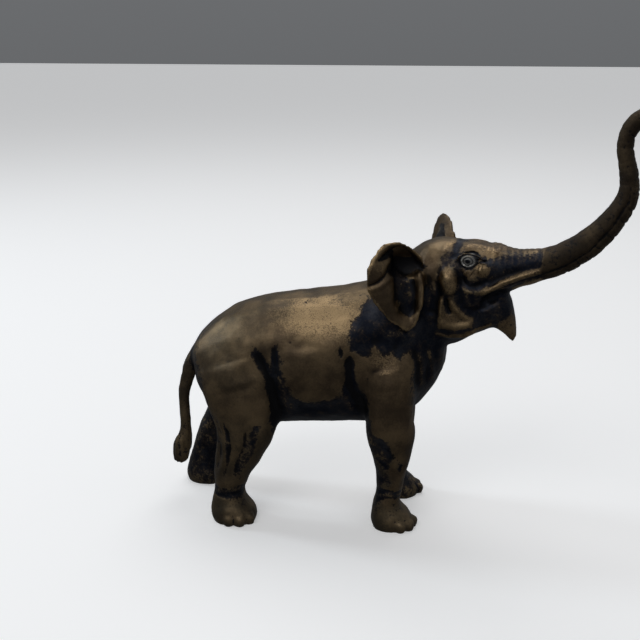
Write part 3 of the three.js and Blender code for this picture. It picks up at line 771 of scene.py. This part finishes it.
def paint(obj, surface, cavity):
    """Writes the layers that the material reads."""
    x, y, z = surface.body.T
    hx, hy, hz = surface.head.T
    right, left = surface.on_side(RIGHT), surface.on_side(LEFT)
    on_head = smooth(hx, 37.5, 39.5) * (1 - surface.on_ears)
    on_body = (1 - on_head) * (1 - surface.on_ears)
    up, back, front = surface.normal[:, 2], -surface.normal[:, 0], surface.normal[:, 0]
    flanks = smooth(np.abs(surface.normal[:, 1]), 0.05, 0.4)

    # the body is mostly rubbed, and black in the folds, under the belly, round the neck and on the far legs
    sides = np.maximum(flanks, smooth(np.abs(y), 5, 9))
    wear = layered(np.full(len(x), 0.84), surface.side_view, BODY_PATCHES, sides)
    wear *= 1 - smooth(-up, 0.35, 0.8) * smooth(z, 24, 28)
    chest = 0.8 * smooth(front, 0.2, 0.7) * (1 - smooth(z, 58, 64)) * smooth(z, 34, 40) * smooth(x, 26, 30)
    wear *= 1 - chest
    legs = 1 - smooth(z, 32, 38)
    wear += (layered(wear, surface.side_view, LEG_PATCHES) - wear) * legs * np.maximum(right, 0.85 * left)
    inner = smooth(-np.sign(y) * surface.normal[:, 1], 0.1, 0.6) * (1 - smooth(z, 28, 36))
    far_hind = (x < -26) * (y > 3) * (1 - smooth(z, 30, 38)) * (1 - left)
    far_fore = (x > 10) * (y > 3) * (1 - smooth(z, 30, 38)) * (1 - left)
    wear *= (1 - 0.95 * inner) * (1 - far_hind) * (1 - 0.75 * far_fore)
    wear *= 1 - 0.8 * smooth(back, 0.45, 0.85) * (x < -30) * smooth(z, 10, 16)
    tail = (x < -38.6) * (np.abs(y) < 4.4) * smooth(z, 9, 10) * (1 - smooth(z, 48, 56))
    wear *= 1 - 0.75 * tail

    head_wear = layered(np.full(len(x), 0.26), surface.head_view, HEAD_PATCHES)
    eye = np.hypot((hx - EYE[0]) / EYE_SIZE[0], (hz - EYE[1]) / EYE_SIZE[1])
    head_wear *= smooth(eye, 1.0, 1.5)
    ring = np.maximum(bell(eye, 0.9, 0.16), 0.7 * bell(eye, 0.5, 0.12)) * smooth(np.abs(hy), 5, 6)
    trunk = surface.on_trunk * smooth(hx, 66.2, 66.9)
    head_wear += (0.5 - head_wear) * trunk
    keel, _ = to_path(surface.head_view, TRUNK_KEEL)
    keel = np.exp(-((keel / 0.9) ** 2)) * smooth(hx, 57, 60)
    head_wear = np.maximum(head_wear, 0.9 * keel)

    ear_wear, ear_shine, ear_cool = np.full(len(x), 0.7), np.zeros(len(x)), np.zeros(len(x))
    for ear in surface.ears.values():
        share = ear.front * ear.belongs
        s, t = ear.view.T
        painted = layered(np.full(len(x), 0.9), ear.view, EAR_PATCHES_AND_SHADOWS)
        ear_wear += (painted - ear_wear) * share
        rim = bell(to_path(ear.view, EAR_OUTLINE + EAR_OUTLINE[:1])[0], 0.9, 0.55)
        knob = bell(s, EAR_KNOB[0], 1.7) * bell(t, EAR_KNOB[1], 1.6)
        fold = 0.3 * bell(s, 15.8, 2.6) * bell(t, 0.6, 2.4)
        ear_shine = np.maximum(ear_shine, share * np.maximum.reduce((0.7 * rim, knob, fold)))
        ear_cool = np.maximum(ear_cool, share * inside(ear.view, EAR_CHANNEL, 0.6))
        ear_wear = np.maximum(ear_wear, 0.85 * knob * share)

    wear = wear * on_body + head_wear * on_head + ear_wear * surface.on_ears
    # painted highlight: the second bell puts rubbed gold where a highlight lies on the right shoulder; the
    # first bell is the gold rubbing of the upper flank
    bright = 0.8 * bell(x, 2, 14) * bell(z, 66, 6.5) + 0.6 * bell(x, 20, 5) * bell(z, 54, 3.5)
    shine = bright * (right + 0.7 * left) * on_body + ear_shine * surface.on_ears
    shine += (0.55 * head_wear * (1 - trunk) + 0.45 * keel + ring) * on_head
    # painted reflection: the haunch is made cool in tone, olive metal and blue patina, as the dark reflection
    # that lies on it
    haunch = bell(x, -26, 11) * bell(z, 56, 13)
    feet = 1 - smooth(z, 7, 10)
    black, hind_legs, top = 1 - smooth(wear, 0.0, 0.5), legs * (x < 0), smooth(up, 0.5, 0.9)
    cool = np.maximum.reduce((black, 0.75 * haunch, 0.75 * feet, 0.5 * hind_legs, 0.45 * top))
    head_cool = (1 - smooth(head_wear, 0.2, 0.6)) * on_head * (1 - 0.7 * trunk)
    cool = cool * on_body + head_cool + ear_cool * surface.on_ears
    for name, value in zip(LAYERS, (wear, shine, cool, cavity, trunk * on_head, ring * on_head)):
        layer = obj.data.attributes.new(name, "FLOAT", "POINT")
        layer.data.foreach_set("value", np.clip(value, 0, 1).astype(np.float32))


def hollow_share(surface, rounds):
    """0 on rises, 1 in hollows and 0.5 on even ground, from how far smoothing would lift each point."""
    soft = np.stack([surface.spread(axis, rounds) for axis in surface.body.T], axis=1)
    lift = ((soft - surface.body) * surface.normal).sum(axis=1)
    return np.clip(0.5 + lift / 0.5, 0, 1)


# ---------------------------------------------------------------- materials


class Socket:
    """A node's output that takes part in arithmetic."""

    def __init__(self, graph, output):
        self.graph, self.output = graph, output

    def _math(self, operation, *values):
        return self.graph.node("ShaderNodeMath", {"operation": operation}, dict(enumerate(values)))

    def __add__(self, other):
        return self._math("ADD", self, other)

    def __radd__(self, other):
        return self._math("ADD", other, self)

    def __sub__(self, other):
        return self._math("SUBTRACT", self, other)

    def __rsub__(self, other):
        return self._math("SUBTRACT", other, self)

    def __mul__(self, other):
        return self._math("MULTIPLY", self, other)

    def __rmul__(self, other):
        return self._math("MULTIPLY", other, self)


class Graph:
    """Builds a material's nodes."""

    def __init__(self, name):
        self.material = bpy.data.materials.new(name)
        self.material.use_nodes = True
        self.tree = self.material.node_tree
        self.tree.nodes.clear()

    def node(self, kind, settings=None, inputs=None, output=0):
        """One node: its settings, then each input's value or link. Returns the chosen output."""
        made = self.tree.nodes.new(kind)
        for name, value in (settings or {}).items():
            setattr(made, name, value)
        for name, value in (inputs or {}).items():
            if isinstance(value, Socket):
                self.tree.links.new(value.output, made.inputs[name])
            else:
                made.inputs[name].default_value = value
        return Socket(self, made.outputs[output]) if made.outputs else None

    def layer(self, name):
        return self.node("ShaderNodeAttribute", {"attribute_name": name}, output="Fac")

    def noise(self, place, scale, detail=4.0, roughness=0.6, distortion=0.0):
        values = {"Vector": place, "Scale": scale, "Detail": detail}
        values |= {"Roughness": roughness, "Distortion": distortion}
        return self.node("ShaderNodeTexNoise", None, values)

    def step(self, value, low, high):
        """0 below low and 1 above high, with a soft step between."""
        values = {"Value": value, "From Min": low, "From Max": high}
        return self.node("ShaderNodeMapRange", {"interpolation_type": "SMOOTHSTEP"}, values)

    def mix(self, share, first, second):
        """Colours, mixed."""
        first, second = (each if isinstance(each, Socket) else (*each, 1) for each in (first, second))
        inputs = {"Factor": share, 6: first, 7: second}
        return self.node("ShaderNodeMix", {"data_type": "RGBA"}, inputs, output=2)

    def surface(self, inputs):
        shader = self.node("ShaderNodeBsdfPrincipled", None, inputs)
        self.node("ShaderNodeOutputMaterial", None, {"Surface": shader})
        return self.material


def bronze(settings):
    """Worn bronze: a near-black patina with ragged edges over brown, olive and gold metal, with a painted
    highlight, a painted reflection and painted shade in the hollows carried by its layers.
    """
    g = Graph("aged_bronze")
    place = g.node("ShaderNodeTexCoord", output="Object")
    place = g.node("ShaderNodeVectorMath", {"operation": "SCALE"}, {0: place, "Scale": 1 / MM})
    wear, shine, cool, cavity, grain, ring = (g.layer(name) for name in LAYERS)

    ragged = g.noise(place, 0.5, 10.0, 0.7, 0.3)
    fine = g.noise(place, 1.7, 6.0, 0.75)
    clouds = g.noise(place, 0.13, 3.0, 0.55)
    specks = g.noise(place, 3.4, 3.0, 0.8)

    bare = wear + (ragged - 0.5) * 1.9 + (fine - 0.5) * 1.1 - (cavity - 0.5) * 0.9
    worn = g.step(bare, 0.38, 0.52)
    # lit and rubbed carry the painted highlight on the shoulder as well as the real rubbing
    lit = shine * 1.1 + (fine - 0.5) * 1.5 + (specks - 0.5) * 1.3 + (clouds - 0.5) * 0.5
    lit = lit - (cavity - 0.5) * 0.6
    rubbed = g.step(lit, 0.42, 0.8)

    # where cool is raised on the haunch, the blue patina here and the olive metal below are a painted
    # reflection
    patina = g.mix(cool, settings.black, settings.blue)
    patina = g.mix(g.step(clouds + (fine - 0.5) * 0.5, 0.45, 0.75) * cool * 0.7, patina, settings.slate)
    patina = g.mix(g.step(bare, 0.0, 0.45) * 0.35, patina, settings.brown)
    metal = g.mix(cool * 0.8, settings.brown, settings.olive)
    metal = g.mix(g.step(clouds + (fine - 0.5) * 0.6, 0.3, 0.75) * 0.5, metal, settings.gold)
    metal = g.mix(rubbed, metal, settings.gold)
    colour = g.mix(worn, patina, metal)
    pits = g.step(specks + (fine - 0.5) * 0.8, 0.62, 0.74)
    colour = g.mix(pits * 0.55, colour, settings.black)
    colour = g.mix(grain * 0.62, colour, settings.black)
    # painted shade: hollows are darkened towards black, partly the black patina kept in them and partly shade
    # painted into the creases
    colour = g.mix(g.step(cavity, 0.58, 0.95) * 0.85, colour, settings.black)
    colour = g.mix(ring, colour, settings.silver)

    height = fine * 0.6 + specks * 0.4 + ragged * 0.5 + worn * 0.3 + grain * specks * 1.2
    bump = g.node("ShaderNodeBump", None, {"Strength": 0.4, "Distance": 0.0003, "Height": height})
    return g.surface(
        {
            "Base Color": colour,
            "Metallic": worn * 0.1 + 0.88,
            "Roughness": 0.34 + (fine - 0.5) * 0.3 + worn * 0.06 - rubbed * 0.05 + grain * 0.14,
            "Normal": bump,
        }
    )


def plain(name, colour, roughness, glow):
    """One even colour, with a glow of its own."""
    colours = {"Base Color": (*colour, 1), "Emission Color": (*colour, 1)}
    return Graph(name).surface({**colours, "Roughness": roughness, "Emission Strength": glow})


# ---------------------------------------------------------------- operators


class ELEPHANT_OT_casting(bpy.types.Operator):
    """Models the cast elephant: its fine form, carving and worn patina"""

    bl_idname = "elephant.casting"
    bl_label = "Cast Elephant"

    def execute(self, context):
        settings = context.scene.elephant
        obj = fine_cast(settings)
        blend_joints(obj, settings)
        surface = Surface(obj, settings)
        # the head and the ears need a finer mesh than the body, and the eyes a finer one still
        refine_where(obj, (surface.head[:, 0] > 37) | (surface.on_ears > 0.02))
        x, y, z = Surface(obj, settings).head.T
        refine_where(obj, (np.hypot(x - 47.4, z - 83.8) < 4.6) & (np.abs(y) > 5))
        for carve in (carve_head, carve_ears, carve_trunk, carve_body, carve_toes, roughen, carve_eye):
            surface = Surface(obj, settings)
            surface.move(settings.fold_depth * carve(surface))
        surface = Surface(obj, settings)
        smooth_where(obj, "rims", np.clip(2 * surface.spread(surface.on_ears, 4), 0, 1), 7)
        smooth_where(obj, "last", np.full(len(obj.data.vertices), 0.5), 1)
        flatten_soles(obj)
        surface = Surface(obj, settings)
        paint(obj, surface, hollow_share(surface, 12))
        obj.data.materials.append(bronze(settings))
        select_only(obj)
        bpy.ops.object.shade_smooth()
        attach(obj, "root")
        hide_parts(CAD_NODE)
        return {"FINISHED"}


def area_light(name, place, target, size, power, colour):
    bpy.ops.object.light_add(type="AREA", location=place)
    lamp = bpy.context.object
    lamp.name = name
    lamp.data.size = size
    lamp.data.energy = power
    lamp.data.color = colour
    lamp.rotation_euler = (place - target).to_track_quat("Z", "Y").to_euler()


class ELEPHANT_OT_stage(bpy.types.Operator):
    """Sets the pale floor, the soft lights and the camera"""

    bl_idname = "elephant.stage"
    bl_label = "Studio Stage"

    def execute(self, context):
        settings = context.scene.elephant
        bpy.ops.object.select_all(action="DESELECT")
        bpy.ops.mesh.primitive_plane_add(size=6.0, location=(0, 0, 0))
        floor = context.object
        floor.name = "floor"
        floor.data.materials.append(plain("floor", tuple(settings.floor_colour), 0.7, 0.4))
        floor.visible_glossy = False  # keeps the pale floor out of the metal's reflections

        body = Vector(BODY_ORIGIN) * MM
        for name, place, size, power, colour in LAMPS:
            area_light(name, body + Vector(place), body + Vector(LAMP_AIM), size, power, colour)

        world = bpy.data.worlds.new("studio")
        context.scene.world = world
        world.use_nodes = True
        nodes, links = world.node_tree.nodes, world.node_tree.links
        direction = nodes.new("ShaderNodeTexCoord")
        height = nodes.new("ShaderNodeSeparateXYZ")
        links.new(direction.outputs["Generated"], height.inputs[0])
        sky = nodes.new("ShaderNodeMapRange")
        for name, value in SKY_STRENGTH.items():
            sky.inputs[name].default_value = value
        links.new(height.outputs["Z"], sky.inputs["Value"])
        links.new(sky.outputs[0], nodes["Background"].inputs["Strength"])
        nodes["Background"].inputs["Color"].default_value = SKY_COLOUR

        cos, sin, level = math.cos(CAMERA_AZIMUTH), math.sin(CAMERA_AZIMUTH), math.cos(CAMERA_PITCH)
        back = Vector((sin * level, -cos * level, math.sin(CAMERA_PITCH)))
        right = Vector((cos, sin, 0))
        bpy.ops.object.camera_add()
        camera = context.object
        camera.name = "camera"
        facing = Matrix((right, back.cross(right), back)).transposed().to_4x4()
        facing.translation = body + Vector(CAMERA_AIM) + back * CAMERA_DISTANCE
        camera.matrix_world = facing
        camera.data.sensor_width = 36
        camera.data.lens = LENS
        context.scene.camera = camera
        context.scene.view_settings.view_transform = "Standard"
        return {"FINISHED"}


class ELEPHANT_PT_panel(bpy.types.Panel):
    bl_idname = "ELEPHANT_PT_panel"
    bl_label = "Bronze Elephant"
    bl_space_type = "VIEW_3D"
    bl_region_type = "UI"
    bl_category = "Elephant"

    def draw(self, context):
        settings = context.scene.elephant
        for name in ElephantSettings.__annotations__:
            self.layout.prop(settings, name)
        self.layout.operator(ELEPHANT_OT_casting.bl_idname)
        self.layout.operator(ELEPHANT_OT_stage.bl_idname)


CLASSES = (ElephantSettings, ELEPHANT_OT_casting, ELEPHANT_OT_stage, ELEPHANT_PT_panel)


def register():
    for cls in CLASSES:
        bpy.utils.register_class(cls)
    bpy.types.Scene.elephant = bpy.props.PointerProperty(type=ElephantSettings)


def unregister():
    del bpy.types.Scene.elephant
    for cls in reversed(CLASSES):
        bpy.utils.unregister_class(cls)


def main():
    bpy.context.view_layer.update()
    register()
    bpy.ops.elephant.casting()
    bpy.ops.elephant.stage()


if __name__ == "__main__":
    main()
